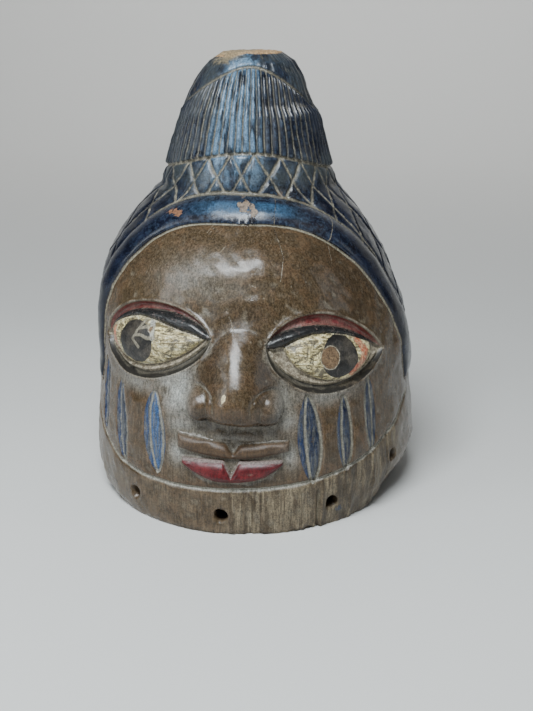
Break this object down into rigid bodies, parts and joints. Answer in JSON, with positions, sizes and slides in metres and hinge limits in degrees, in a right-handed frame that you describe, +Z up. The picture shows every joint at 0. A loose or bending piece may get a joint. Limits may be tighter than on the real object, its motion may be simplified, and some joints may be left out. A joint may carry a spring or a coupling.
{
  "type": "gelede mask",
  "caption": "Carved wooden helmet mask: painted face, raised hair band, lattice hair and a fluted cone, hollow from below.",
  "frame": {"origin": "middle of the footprint box, at the level of the rim's underside", "axes": "+Z up along the cone, -Y the way the face looks, +X to the right for a viewer facing the mask"},
  "size_m": [0.229, 0.2776, 0.2979],
  "materials": {
    "carved_wood": "painted and worn, satin"
  },
  "bodies": {
    "root": {"mask": "carved_wood"}
  },
  "joints": []
}
